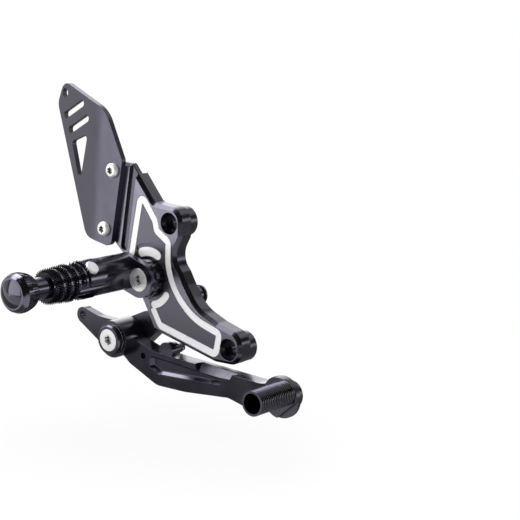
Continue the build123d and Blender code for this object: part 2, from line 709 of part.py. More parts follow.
# Brake lever
rear_face_y = lever_face_y + rear_arm_depth
with BuildPart() as brake_lever:
    with BuildSketch(facing_out(lever_y)):
        with BuildLine():
            FilletPolyline(
                (pivot_x + hub_radius * 0.23, pivot_z + hub_radius * 0.69),
                (pivot_x + lever_reach * 0.107, pivot_z),
                (pivot_x + lever_reach * 0.236, pivot_z - hub_radius * 0.423),
                (pivot_x + lever_reach * 0.423, pivot_z - hub_radius * 0.577),
                (toe_x - lever_reach * 0.119, toe_z + toe_lug_radius * 0.653),
                (toe_x, toe_z + toe_lug_radius),
                (toe_x, toe_z - toe_lug_radius),
                (toe_x - lever_reach * 0.221, toe_z - toe_lug_radius * 1.2),
                (toe_x - lever_reach * 0.311, toe_z - toe_lug_radius * 0.863),
                (pivot_x + lever_reach * 0.422, pivot_z - hub_radius * 2.246),
                (pivot_x + lever_reach * 0.241, pivot_z - hub_radius * 2.215),
                (pivot_x + lever_reach * 0.064, pivot_z - hub_radius * 1.331),
                (pivot_x, pivot_z - hub_radius * 0.77),
                radius=[0, 12, 25, 25, 20, 0, 0, 10, 10, 25, 15, 10, 0],
                close=True,
            )
        make_face()
        with Locations((toe_x, toe_z)):
            Circle(toe_lug_radius)
    extrude(amount=arm_depth)
    with BuildSketch(facing_out(rear_face_y)):
        with BuildLine():
            FilletPolyline(
                (pivot_x, pivot_z + hub_radius * 0.85),
                (pivot_x - eye_reach * 0.559, pivot_z + hub_radius * 0.946),
                (eye_x + eye_lug_radius * 0.44, eye_z + eye_lug_radius * 0.88),
                (eye_x - eye_lug_radius * 0.49, eye_z - eye_lug_radius * 0.864),
                (pivot_x - eye_reach * 0.545, pivot_z - hub_radius * 0.492),
                (pivot_x, pivot_z - hub_radius * 0.85),
                radius=[0, 16, 0, 0, 16, 0],
                close=True,
            )
        make_face()
        with Locations((eye_x, eye_z)):
            Circle(eye_lug_radius)
            Circle(eye_radius, mode=Mode.SUBTRACT)
    extrude(amount=rear_arm_depth)
    with BuildSketch(facing_out(lever_y)):
        with Locations((pivot_x, pivot_z)):
            Circle(hub_radius)
    extrude(amount=hub_length)
    # Lobe behind the arm that carries the spring's pin
    with BuildSketch(facing_out(lever_y)):
        with Locations((spring_pin_x, spring_pin_z)):
            Circle(spring_lobe_radius)
    extrude(amount=spring_lobe_depth)
    # Seat for the toe piece
    with BuildSketch(facing_out(toe_seat_y)):
        with Locations((toe_x, toe_z)):
            Circle(toe_disc_radius + side_gap)
    extrude(amount=arm_depth, mode=Mode.SUBTRACT)
    # Pocket with sloping walls in the outboard face
    with BuildSketch(facing_out(lever_face_y)):
        with BuildLine():
            FilletPolyline(
                (pivot_x + lever_reach * 0.196, pivot_z - hub_radius * 0.654),
                (pivot_x + lever_reach * 0.196, pivot_z - hub_radius * 1.308),
                (pivot_x + lever_reach * 0.252, pivot_z - hub_radius * 1.6),
                (pivot_x + lever_reach * 0.647, pivot_z - hub_radius * 1.477),
                (pivot_x + lever_reach * 0.637, pivot_z - hub_radius * 1.092),
                radius=1.8,
                close=True,
            )
        make_face()
    extrude(amount=-pocket_depth, taper=pocket_slope, mode=Mode.SUBTRACT)
    # Scoop milled along the top edge with a round-ended cut
    scoop_plane = Plane(
        origin=(
            pivot_x + scoop_start + scoop_length / 2,
            lever_face_y + arm_depth * 0.4,
            pivot_z - hub_radius * 0.827,
        ),
        x_dir=(1, 0, 0),
        z_dir=(0, -hub_radius / 2, arm_depth * 0.8),
    )
    with BuildSketch(scoop_plane):
        SlotOverall(scoop_length, scoop_width)
    extrude(amount=arm_depth, mode=Mode.SUBTRACT)
    # Bores for the bearings, the toe bolt, the spring's pin and a lightening hole
    with BuildSketch(facing_out(lever_y), facing_out(hub_face_y + bearing_width)):
        with Locations((pivot_x, pivot_z)):
            Circle(bearing_radius)
    extrude(amount=bearing_width, mode=Mode.SUBTRACT)
    with BuildSketch(facing_out(lever_y)):
        with Locations((pivot_x, pivot_z)):
            Circle(bearing_radius - bearing_shoulder)
        with Locations((toe_x, toe_z)):
            Circle(toe_bolt_radius + side_gap)
        with Locations((pivot_x + lever_reach * 0.152, pivot_z - hub_radius * 0.777)):
            Circle(light_hole_radius)
    extrude(amount=hub_length, mode=Mode.SUBTRACT)
    with BuildSketch(facing_out(lever_y)):
        with Locations((spring_pin_x, spring_pin_z)):
            Circle(spring_pin_radius)
    extrude(amount=spring_pin_stud_depth, mode=Mode.SUBTRACT)
brake_lever.part.label = "brake_lever"

# Bearings in the hub
with BuildPart() as lever_bearings:
    with BuildSketch(facing_out(lever_y), facing_out(hub_face_y + bearing_width)):
        with Locations((pivot_x, pivot_z)):
            Circle(bearing_radius)
            Circle(sleeve_radius + bearing_play, mode=Mode.SUBTRACT)
    extrude(amount=bearing_width)
lever_bearings.part.label = "lever_bearings"

# Sleeve that the bearings turn on
with BuildPart() as pivot_sleeve:
    with BuildSketch(facing_out(lug_y)):
        with Locations((pivot_x, pivot_z)):
            Circle(sleeve_radius)
            Circle(pivot_bolt_radius + side_gap, mode=Mode.SUBTRACT)
    extrude(amount=lug_y - sleeve_end_y)
pivot_sleeve.part.label = "pivot_sleeve"

# Cup washer
with BuildPart() as pivot_washer:
    with BuildSketch(facing_out(sleeve_end_y)):
        with Locations((pivot_x, pivot_z)):
            Circle(washer_radius)
    extrude(amount=washer_thickness)
    chamfer(pivot_washer.faces().sort_by(Axis.Y)[0].edges(), washer_thickness / 4)
    with Locations(facing_out(washer_face_y)):
        with Locations((pivot_x, pivot_z)):
            CounterSinkHole(pivot_bolt_radius, pivot_head_radius, counter_sink_angle=90)
pivot_washer.part.label = "pivot_washer"

# Pivot bolt
with BuildPart() as pivot_bolt:
    with BuildSketch(turning(pivot_x, pivot_z)):
        with BuildLine():
            Polyline(
                (0, washer_face_y),
                (pivot_head_radius, washer_face_y),
                (pivot_bolt_radius, washer_face_y + pivot_head_radius - pivot_bolt_radius),
                (pivot_bolt_radius, lug_y + lug_thickness),
                (0, lug_y + lug_thickness),
                close=True,
            )
        make_face()
    revolve(axis=along_y(pivot_x, pivot_z))
    with BuildSketch(facing_out(washer_face_y)):
        with Locations((pivot_x, pivot_z)):
            star_socket(pivot_head_radius * 0.45)
    extrude(amount=-pivot_bolt_radius * 0.85, mode=Mode.SUBTRACT)
pivot_bolt.part.label = "pivot_bolt"

# Toe piece: an eccentric disc with a ribbed, hollow tube
with BuildPart() as toe_peg:
    with BuildSketch(facing_out(toe_seat_y)):
        with Locations((toe_x, toe_z)):
            Circle(toe_disc_radius)
    extrude(amount=toe_disc_thickness)
    chamfer(toe_peg.faces().sort_by(Axis.Y)[0].edges(), toe_disc_bevel)
    # Flat that clears the ground
    flat_reach = toe_flat + toe_disc_radius
    flat_x = toe_x + flat_reach * cos(radians(toe_flat_angle))
    flat_z = toe_z + flat_reach * sin(radians(toe_flat_angle))
    with BuildSketch(facing_out(toe_face_y)):
        with Locations((flat_x, flat_z)):
            Rectangle(2 * toe_disc_radius, 4 * toe_disc_radius, rotation=toe_flat_angle)
    extrude(amount=-toe_flat_depth, mode=Mode.SUBTRACT)
    rib_pitch = toe_tube_length / (toe_rib_count + 1)
    rib_points = []
    for rib in range(toe_rib_count):
        rib_y = toe_face_y - (rib + 0.5) * rib_pitch
        rib_points.append((toe_tube_radius - toe_rib_depth, rib_y))
        rib_points.append((toe_tube_radius, rib_y - rib_pitch * 0.3))
        rib_points.append((toe_tube_radius, rib_y - rib_pitch * 0.6))
        rib_points.append((toe_tube_radius - toe_rib_depth, rib_y - rib_pitch * 0.9))
    with BuildSketch(turning(toe_tube_x, toe_tube_z)):
        with BuildLine():
            Polyline(
                (0, toe_face_y),
                (toe_tube_radius - toe_rib_depth, toe_face_y),
                *rib_points,
                (toe_tube_radius, toe_end_y + rib_pitch * 0.5),
                (toe_tube_radius, toe_end_y),
                (toe_tube_bore, toe_end_y),
                (toe_tube_bore, toe_face_y - toe_tube_floor),
                (0, toe_face_y - toe_tube_floor),
                close=True,
            )
        make_face()
    revolve(axis=along_y(toe_tube_x, toe_tube_z))
    with BuildSketch(facing_out(toe_seat_y)):
        with Locations((toe_x, toe_z)):
            Circle(toe_bolt_radius)
    extrude(amount=toe_disc_thickness * 0.7, mode=Mode.SUBTRACT)
toe_peg.part.label = "toe_peg"

# Toe bolt, put in from the inboard side
with BuildPart() as toe_peg_bolt:
    with BuildSketch(facing_out(lever_y)):
        with Locations((toe_x, toe_z)):
            Circle(toe_bolt_radius)
    extrude(amount=lever_y - toe_seat_y + toe_disc_thickness * 0.7)
    with BuildSketch(facing_out(lever_y + toe_bolt_head_height)):
        with Locations((toe_x, toe_z)):
            Circle(toe_bolt_head_radius)
    extrude(amount=toe_bolt_head_height)
    fillet(toe_peg_bolt.faces().sort_by(Axis.Y)[-1].edges(), toe_bolt_head_height * 0.6)
    with BuildSketch(facing_out(lever_y + toe_bolt_head_height)):
        with Locations((toe_x, toe_z)):
            RegularPolygon(toe_bolt_radius * 0.62, 6, major_radius=False)
    extrude(amount=toe_bolt_head_height * 0.6, mode=Mode.SUBTRACT)
toe_peg_bolt.part.label = "toe_peg_bolt"

# Grooved post on the bracket's back
with BuildPart() as spring_post:
    with BuildSketch(turning(post_x, post_z)):
        with BuildLine():
            Polyline(
                (0, back_y - post_stud_depth),
                (post_stud_radius, back_y - post_stud_depth),
                (post_stud_radius, back_y),
                (post_flange_radius, back_y),
                (post_flange_radius, spring_y - return_wire),
                (post_groove_radius, spring_y - return_wire / 2),
                (post_groove_radius, spring_y + return_wire / 2),
                (post_flange_radius, spring_y + return_wire),
                (post_flange_radius, spring_y + 2.2 * return_wire),
                (0, spring_y + 2.2 * return_wire),
                close=True,
            )
        make_face()
    revolve(axis=along_y(post_x, post_z))
spring_post.part.label = "spring_post"

# Collared pin on the lever's back
with BuildPart() as lever_spring_pin:
    with BuildSketch(turning(spring_pin_x, spring_pin_z)):
        with BuildLine():
            Polyline(
                (0, lever_y - spring_pin_stud_depth),
                (spring_pin_radius, lever_y - spring_pin_stud_depth),
                (spring_pin_radius, lever_y),
                (spring_pin_collar_radius, lever_y),
                (spring_pin_collar_radius, lever_y + spring_pin_collar_height),
                (spring_pin_radius, lever_y + spring_pin_collar_height),
                (spring_pin_radius, spring_y - return_wire),
                (spring_pin_groove_radius, spring_y - return_wire / 2),
                (spring_pin_groove_radius, spring_y + return_wire / 2),
                (spring_pin_radius, spring_y + return_wire),
                (spring_pin_radius, spring_y + 2.2 * return_wire),
                (0, spring_y + 2.2 * return_wire),
                close=True,
            )
        make_face()
    revolve(axis=along_y(spring_pin_x, spring_pin_z))
lever_spring_pin.part.label = "lever_spring_pin"

# Return spring: a coil with a ring at each end
spring_span = hypot(spring_pin_x - post_x, spring_pin_z - post_z)
pull = Vector(spring_pin_x - post_x, 0, spring_pin_z - post_z) / spring_span
post_place = Vector(post_x, spring_y, post_z)
pin_place = Vector(spring_pin_x, spring_y, spring_pin_z)
post_ring = post_groove_radius + return_wire / 2
pin_ring = spring_pin_groove_radius + return_wire / 2
coil_first = post_flange_radius + return_wire
coil_last = spring_span - pin_ring - 2 * return_wire
with BuildPart() as return_spring:
    # The closed coils are a stack of wire rings that just run into each other.
    with BuildSketch(Plane(origin=post_place, x_dir=(0, 1, 0), z_dir=pull.cross(Vector(0, -1, 0)))):
        with Locations((spring_radius, (coil_first + coil_last) / 2)):
            with GridLocations(0, (coil_last - coil_first) / coil_turns, 1, coil_turns):
                Circle(return_wire * 0.55)
    revolve(axis=Axis(post_place, pull))
    with Locations(Location(post_place, (90, 0, 0))):
        Torus(post_ring, return_wire / 2)
    with Locations(Location(pin_place, (90, 0, 0))):
        Torus(pin_ring, return_wire / 2)
    for place, way, ring, reach in (
        (post_place, pull, post_ring, coil_first + return_wire / 2),
        (pin_place, -pull, pin_ring, spring_span - coil_last + return_wire / 2),
    ):
        with Locations(Plane(origin=place + way * ring, z_dir=way)):
            Cylinder(return_wire / 2, reach - ring, align=(Align.CENTER, Align.CENTER, Align.MIN))
        with Locations(Plane(origin=place + way * reach, z_dir=(0, 1, 0))):
            Cylinder(return_wire / 2, spring_radius, align=(Align.CENTER, Align.CENTER, Align.MIN))
return_spring.part.label = "return_spring"

# Write every part to its own file
os.makedirs("parts", exist_ok=True)
for piece in (
    base_bracket,
    heel_guard,
    heel_guard_screws,
    peg_carrier,
    carrier_bolt,
    footpeg,
    peg_hinge_pin,
    hinge_clip,
    peg_return_spring,
    peg_end_knob,
    knob_bolt,
    peg_end_cap,
    brake_lever,
    lever_bearings,
    pivot_sleeve,
    pivot_washer,
    pivot_bolt,
    toe_peg,
    toe_peg_bolt,
    spring_post,
    lever_spring_pin,
    return_spring,
):
    export_step(piece.part, "parts/" + piece.part.label + ".step")
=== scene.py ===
"""Dresses the rear-set footrest's CAD frame and sets it in a plain white studio.

All lengths in the dataclasses are millimetres and all angles degrees, in the CAD frame: +X forward,
+Y inboard, +Z up.
"""

import logging
import math
from dataclasses import dataclass, field
from enum import Enum

import bpy
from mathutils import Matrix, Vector


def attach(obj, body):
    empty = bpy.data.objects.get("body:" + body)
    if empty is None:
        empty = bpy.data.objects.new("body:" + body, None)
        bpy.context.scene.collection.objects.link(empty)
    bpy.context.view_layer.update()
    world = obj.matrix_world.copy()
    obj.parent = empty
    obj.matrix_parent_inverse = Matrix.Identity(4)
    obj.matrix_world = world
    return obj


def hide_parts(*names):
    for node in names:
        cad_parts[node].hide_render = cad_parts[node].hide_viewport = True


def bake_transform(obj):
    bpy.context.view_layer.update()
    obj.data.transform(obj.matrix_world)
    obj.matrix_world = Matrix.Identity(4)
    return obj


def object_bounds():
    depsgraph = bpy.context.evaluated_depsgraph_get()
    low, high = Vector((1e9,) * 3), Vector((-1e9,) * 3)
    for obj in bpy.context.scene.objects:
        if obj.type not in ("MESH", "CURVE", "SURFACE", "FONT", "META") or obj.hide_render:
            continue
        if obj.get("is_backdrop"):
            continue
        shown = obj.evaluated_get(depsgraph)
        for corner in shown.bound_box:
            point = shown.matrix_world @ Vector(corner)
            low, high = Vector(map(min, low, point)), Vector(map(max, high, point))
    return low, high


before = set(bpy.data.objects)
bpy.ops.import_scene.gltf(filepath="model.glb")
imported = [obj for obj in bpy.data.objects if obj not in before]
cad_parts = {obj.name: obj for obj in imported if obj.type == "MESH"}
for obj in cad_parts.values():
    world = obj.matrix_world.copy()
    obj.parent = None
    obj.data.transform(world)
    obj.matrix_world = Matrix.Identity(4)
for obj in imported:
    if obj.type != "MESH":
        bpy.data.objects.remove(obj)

MM = 0.001
log = logging.getLogger("rear_set")
Colour = tuple[float, float, float]
Point = tuple[float, float, float]
Span = tuple[float, float]
NOWHERE: Span = (0.0, 0.0)
NOISE_SPAN: Span = (0.3, 0.7)
NOISE_ROUGHNESS = 0.55
EDGE_SAMPLES = 6
SKY_SAMPLES = 8
FLAT_OUTBOARD = -0.9
ON_EDGE: Point = (math.radians(90), 0.0, 0.0)


class Body(Enum):
    """The CAD bodies that pieces ride on."""

    BRACKET = "bracket"
    LEVER = "lever"
    PEG = "peg"


class Slot(Enum):
    """Material slot names for the scene's own pieces; nothing in this script assigns them."""

    ANODISED = "anodised_black"
    KNURLED = "knurled_black"
    SPRING = "spring_steel"


def metres(point: Point) -> Vector:
    """A point given in millimetres, in metres."""
    return Vector(point) * MM


class Nodes:
    """Short calls for filling one node tree."""

    def __init__(self, tree: bpy.types.NodeTree) -> None:
        """Keeps the tree that the calls fill."""
        self.tree = tree

    def add(self, kind: str, **settings: object) -> bpy.types.Node:
        """Adds a node.

        Args:
            kind: The node's Blender type name.
            settings: Properties to set on it.

        Returns:
            The new node.
        """
        node = self.tree.nodes.new(kind)
        for name, value in settings.items():
            setattr(node, name, value)
        return node

    def feed(self, node: bpy.types.Node, **inputs: object) -> bpy.types.Node:
        """Sets or links a node's inputs.

        Args:
            node: The node to feed.
            inputs: Socket names, with _ for a space, and a value or an output socket for each.

        Returns:
            The same node.
        """
        for name, value in inputs.items():
            socket = node.inputs[name.replace("_", " ")]
            self.join(value, socket)
        return node

    def join(self, value: object, socket: bpy.types.NodeSocket) -> None:
        """Links an output socket to an input, or sets the input's value.

        Args:
            value: A value or an output socket.
            socket: The input.
        """
        if isinstance(value, bpy.types.NodeSocket):
            self.tree.links.new(value, socket)
        else:
            socket.default_value = value

    def maths(self, operation: str, *values: object) -> bpy.types.NodeSocket:
        """Adds a Math node.

        Args:
            operation: Its operation.
            values: Numbers or output sockets.

        Returns:
            Its result.
        """
        node = self.add("ShaderNodeMath", operation=operation)
        for value, socket in zip(values, node.inputs):
            self.join(value, socket)
        return node.outputs[0]

    def vector(self, x: object, y: object, z: object) -> bpy.types.NodeSocket:
        """Joins three numbers into a vector.

        Args:
            x: A number or an output socket.
            y: The same, for Y.
            z: The same, for Z.

        Returns:
            The vector.
        """
        node = self.add("ShaderNodeCombineXYZ")
        for value, socket in zip((x, y, z), node.inputs):
            self.join(value, socket)
        return node.outputs[0]

    def added(self, first: object, second: object) -> bpy.types.NodeSocket:
        """Adds two vectors.

        Args:
            first: A vector or an output socket.
            second: A vector or an output socket.

        Returns:
            Their sum.
        """
        node = self.add("ShaderNodeVectorMath", operation="ADD")
        self.join(first, node.inputs[0])
        self.join(second, node.inputs[1])
        return node.outputs[0]

    def ramp(
        self, value: object, low: float, high: float, first: float, last: float
    ) -> bpy.types.NodeSocket:
        """Maps a number from one range to another, smoothly and clamped.

        Args:
            value: The number.
            low: Where the range starts.
            high: Where it ends.
            first: The result at low.
            last: The result at high.

        Returns:
            The mapped number.
        """
        node = self.add("ShaderNodeMapRange", interpolation_type="SMOOTHSTEP")
        for given, socket in zip((value, low, high, first, last), node.inputs):
            self.join(given, socket)
        return node.outputs[0]

    def mix_colour(self, share: object, first: object, second: object) -> bpy.types.NodeSocket:
        """Mixes two colours.

        Args:
            share: How much of the second.
            first: A colour or an output socket.
            second: A colour or an output socket.

        Returns:
            The mixed colour.
        """
        node = self.add("ShaderNodeMix", data_type="RGBA")
        self.join(share, node.inputs[0])
        for value, socket in ((first, node.inputs[6]), (second, node.inputs[7])):
            self.join((*value, 1.0) if isinstance(value, tuple) else value, socket)
        return node.outputs[2]

    def mix_number(self, share: object, first: object, second: object) -> bpy.types.NodeSocket:
        """Mixes two numbers.

        Args:
            share: How much of the second.
            first: A number or an output socket.
            second: A number or an output socket.

        Returns:
            The mixed number.
        """
        node = self.add("ShaderNodeMix", data_type="FLOAT")
        sockets = (node.inputs[0], node.inputs[2], node.inputs[3])
        for value, socket in zip((share, first, second), sockets):
            self.join(value, socket)
        return node.outputs[0]


class Surface(Nodes):
    """A material's tree with the patterns that the finishes share."""

    def __init__(self, name: str) -> None:
        """Starts an empty material with a shader and object coordinates."""
        self.material = bpy.data.materials.new(name)
        self.material.use_nodes = True
        super().__init__(self.material.node_tree)
        self.tree.nodes.clear()
        self.shader = self.add("ShaderNodeBsdfPrincipled")
        self.output = self.add("ShaderNodeOutputMaterial")
        self.tree.links.new(self.shader.outputs[0], self.output.inputs[0])
        self.place = self.add("ShaderNodeTexCoord").outputs["Object"]

    def grain(self, size: float, detail: float = 3.0) -> bpy.types.NodeSocket:
        """Noise over the surface.

        Args:
            size: Its main size in millimetres.
            detail: How many finer layers it has.

        Returns:
            A number from 0 to 1.
        """
        node = self.add("ShaderNodeTexNoise")
        scale = 1 / (size * MM)
        self.feed(node, Vector=self.place, Scale=scale, Detail=detail, Roughness=NOISE_ROUGHNESS)
        return node.outputs[0]

    def bump(self, height: object, depth: float, normal: object = None) -> bpy.types.NodeSocket:
        """Turns a height into a normal.

        Args:
            height: The height, from 0 to 1.
            depth: What 1 stands for, in millimetres.
            normal: The normal that it adds to.

        Returns:
            The bumped normal.
        """
        node = self.add("ShaderNodeBump")
        self.feed(node, Height=height, Distance=depth * MM, Strength=1.0)
        if normal is not None:
            self.join(normal, node.inputs["Normal"])
        return node.outputs[0]

    def layer(self, low: float, high: float) -> bpy.types.NodeSocket:
        """Picks out flat outboard faces between two depths.

        Args:
            low: The outer depth, as a Y in millimetres.
            high: The inner depth.

        Returns:
            1 on those faces and 0 elsewhere.
        """
        depth = self.feed(self.add("ShaderNodeSeparateXYZ"), Vector=self.place).outputs["Y"]
        facing = self.add("ShaderNodeNewGeometry").outputs["True Normal"]
        out = self.feed(self.add("ShaderNodeSeparateXYZ"), Vector=facing).outputs["Y"]
        above = self.maths("GREATER_THAN", depth, low * MM)
        below = self.maths("LESS_THAN", depth, high * MM)
        flat = self.maths("LESS_THAN", out, FLAT_OUTBOARD)
        return self.maths("MULTIPLY", self.maths("MULTIPLY", above, below), flat)

    def mix_vector(self, share: object, first: object, second: object) -> bpy.types.NodeSocket:
        """Mixes two vectors.

        Args:
            share: How much of the second.
            first: A vector or an output socket.
            second: A vector or an output socket.

        Returns:
            The mixed vector.
        """
        node = self.add("ShaderNodeMix", data_type="VECTOR")
        sockets = (node.inputs[0], node.inputs[4], node.inputs[5])
        for value, socket in zip((share, first, second), sockets):
            self.join(value, socket)
        return node.outputs[1]

    def open_sky(self, reach: float) -> bpy.types.NodeSocket:
        """How open the surface is to its surroundings.

        Args:
            reach: How far it looks, in millimetres.

        Returns:
            1 in the open and 0 deep in a socket.
        """
        node = self.add("ShaderNodeAmbientOcclusion", samples=SKY_SAMPLES, only_local=True)
        node.inputs["Distance"].default_value = reach * MM
        return node.outputs["AO"]

    def soft_edges(self, radius: float) -> bpy.types.NodeSocket:
        """The surface normal with its edges broken.

        Args:
            radius: The edges' radius in millimetres.

        Returns:
            The softened normal.
        """
        node = self.add("ShaderNodeBevel", samples=EDGE_SAMPLES)
        node.inputs["Radius"].default_value = radius * MM
        return node.outputs[0]


@dataclass(frozen=True)
class Anodised:
    """Black anodised aluminium, blasted fine before it was dyed."""

    name: str
    colour: Colour = (0.003, 0.003, 0.004)
    worn: Colour = (0.007, 0.0065, 0.0085)
    sheen: Colour = (0.8, 0.77, 1.0)
    roughness: float = 0.24
    spread: float = 0.05
    grain_size: float = 0.22
    grain_depth: float = 0.006
    cloud_size: float = 18.0
    edge: float = 0.25
    index: float = 1.75

    def surface(self) -> Surface:
        """Fills the tree.

        Returns:
            The surface, open for more nodes.
        """
        s = Surface(self.name)
        fine = s.grain(self.grain_size)
        cloud = s.grain(self.cloud_size, detail=2.0)
        smoothest, roughest = self.roughness - self.spread, self.roughness + self.spread
        s.feed(
            s.shader,
            Base_Color=s.mix_colour(cloud, self.colour, self.worn),
            Roughness=s.ramp(cloud, *NOISE_SPAN, smoothest, roughest),
            IOR=self.index,
            Specular_Tint=(*self.sheen, 1.0),
            Normal=s.bump(fine, self.grain_depth, s.soft_edges(self.edge)),
        )
        return s

    def material(self) -> bpy.types.Material:
        """The finished material."""
        return self.surface().material


@dataclass(frozen=True)
class AccentedAnodised(Anodised):
    """Anodised, with other looks on flat outboard faces at three depths.

    The face takes the margin colour as a metal: shiny on the bracket, and on the peg's end almost
    unreflective, as painted shade; the panel is duller, and the groove is milled through to bare
    aluminium.
    """

    bare: Colour = (0.96, 0.96, 0.965)
    bare_shade: float = 0.95
    bare_roughness: float = 0.42
    bare_spread: float = 0.06
    bare_metal: float = 0.35
    margin: Colour = (0.14, 0.136, 0.165)
    face: Span = (-18.05, -17.95)
    groove: Span = (-17.68, -17.52)
    panel: Span = (-17.92, -17.78)
    panel_roughness: float = 0.32
    panel_colour: Colour = (0.092, 0.089, 0.107)
    line_size: float = 0.35
    line_stretch: Point = (0.2, 1.0, 1.0)
    line_depth: float = 0.002

    def material(self) -> bpy.types.Material:
        """Adds the faces, panels and grooves to the anodised surface.

        Returns:
            The finished material.
        """
        s = self.surface()
        bare = s.layer(*self.groove)
        # On the peg this face layer carries painted shade on the grip's outer end.
        outer_face = s.layer(*self.face)
        mill = s.add("ShaderNodeTexNoise")
        stretch = s.add("ShaderNodeMapping")
        s.feed(stretch, Vector=s.place, Scale=self.line_stretch)
        s.feed(mill, Vector=stretch.outputs[0], Scale=1 / (self.line_size * MM), Detail=2.0)
        smoothest = self.bare_roughness - self.bare_spread
        roughest = self.bare_roughness + self.bare_spread
        shine = s.ramp(mill.outputs[0], *NOISE_SPAN, smoothest, roughest)
        base = s.shader.inputs["Base Color"].links[0].from_socket
        rough = s.shader.inputs["Roughness"].links[0].from_socket
        normal = s.shader.inputs["Normal"].links[0].from_socket
        panel = s.layer(*self.panel)
        dull = s.mix_number(panel, rough, self.panel_roughness)
        black = s.mix_colour(panel, s.mix_colour(outer_face, base, self.margin), self.panel_colour)
        shaded = tuple(c * self.bare_shade for c in self.bare)
        silver = s.mix_colour(mill.outputs[0], self.bare, shaded)
        s.feed(
            s.shader,
            Base_Color=s.mix_colour(bare, black, silver),
            Roughness=s.mix_number(bare, dull, shine),
            Metallic=s.maths("MULTIPLY_ADD", bare, self.bare_metal, s.maths("ADD", outer_face, panel)),
            Normal=s.mix_vector(bare, normal, s.bump(mill.outputs[0], self.line_depth)),
        )
        return s.material


@dataclass(frozen=True)
class RibbedAnodised(Anodised):
    """Anodised ribs round a tube along Y, with a painted highlight on their crests and painted shade
    between them.
    """

    tube: Span = (-59.9, -26.1)
    first_crest: float = -27.615
    pitch: float = 1.7
    # Painted light on the ribs: the first colour is a painted highlight on the crests, the groove
    # colour painted shade between them.
    crest_highlight: Colour = (0.125, 0.122, 0.143)
    groove: Colour = (0.002, 0.002, 0.002)
    groove_edge: Span = (0.12, 0.3)

    def material(self) -> bpy.types.Material:
        """Adds painted highlight and shade bands that follow the ribs to the anodised surface.

        Returns:
            The finished material.
        """
        s = self.surface()
        y = s.feed(s.add("ShaderNodeSeparateXYZ"), Vector=s.place).outputs["Y"]
        step = s.maths("DIVIDE", s.maths("SUBTRACT", y, self.first_crest * MM), self.pitch * MM)
        deep = s.ramp(s.maths("PINGPONG", step, 0.5), *self.groove_edge, 0.0, 1.0)
        before_end = s.maths("GREATER_THAN", y, self.tube[0] * MM)
        past_start = s.maths("LESS_THAN", y, self.tube[1] * MM)
        ribbed = s.maths("MULTIPLY", before_end, past_start)
        base = s.shader.inputs["Base Color"].links[0].from_socket
        # Bands of painted highlight on the crests and painted shade in the grooves, made metal over the
        # ribbed length of the tube.
        stripes = s.mix_colour(deep, self.crest_highlight, self.groove)
        s.feed(s.shader, Base_Color=s.mix_colour(ribbed, base, stripes), Metallic=ribbed)
        return s.material


@dataclass(frozen=True)
class Steel:
    """Turned, drawn or ground steel, with fine marks round or along an axis, and painted shade that
    darkens its sockets and recesses.
    """

    name: str
    colour: Colour = (0.9, 0.9, 0.9)
    dark: Colour = (0.8, 0.8, 0.8)
    metal: float = 0.55
    roughness: float = 0.38
    spread: float = 0.07
    mark: float = 0.3
    mark_stretch: Point = (1.0, 0.15, 1.0)
    depth: float = 0.003
    cloud_size: float = 3.0
    cloud_span: Span = (0.45, 0.8)
    edge: float = 0.15
    # The next colour is painted shade, mixed in where the steel is enclosed, in sockets and recesses.
    socket_shade_colour: Colour = (0.05, 0.045, 0.04)
    socket: float = 2.5
    socket_span: Span = (0.35, 0.8)

    def material(self) -> bpy.types.Material:
        """Fills the tree.

        Returns:
            The finished material.
        """
        s = Surface(self.name)
        stretch = s.add("ShaderNodeMapping")
        s.feed(stretch, Vector=s.place, Scale=self.mark_stretch)
        marks = s.add("ShaderNodeTexNoise")
        s.feed(marks, Vector=stretch.outputs[0], Scale=1 / (self.mark * MM), Detail=4.0)
        cloud = s.ramp(s.grain(self.cloud_size), *self.cloud_span, 0.0, 1.0)
        shine = s.mix_colour(cloud, self.colour, self.dark)
        # Painted shade: darker where ambient occlusion finds the surface enclosed, as in a bolt's
        # socket.
        socket_shade_share = s.ramp(s.open_sky(self.socket), *self.socket_span, 1.0, 0.0)
        smoothest, roughest = self.roughness - self.spread, self.roughness + self.spread
        s.feed(
            s.shader,
            Base_Color=s.mix_colour(socket_shade_share, shine, self.socket_shade_colour),
            Roughness=s.ramp(marks.outputs[0], *NOISE_SPAN, smoothest, roughest),
            Metallic=self.metal,
            Normal=s.bump(marks.outputs[0], self.depth, s.soft_edges(self.edge)),
        )
        return s.material


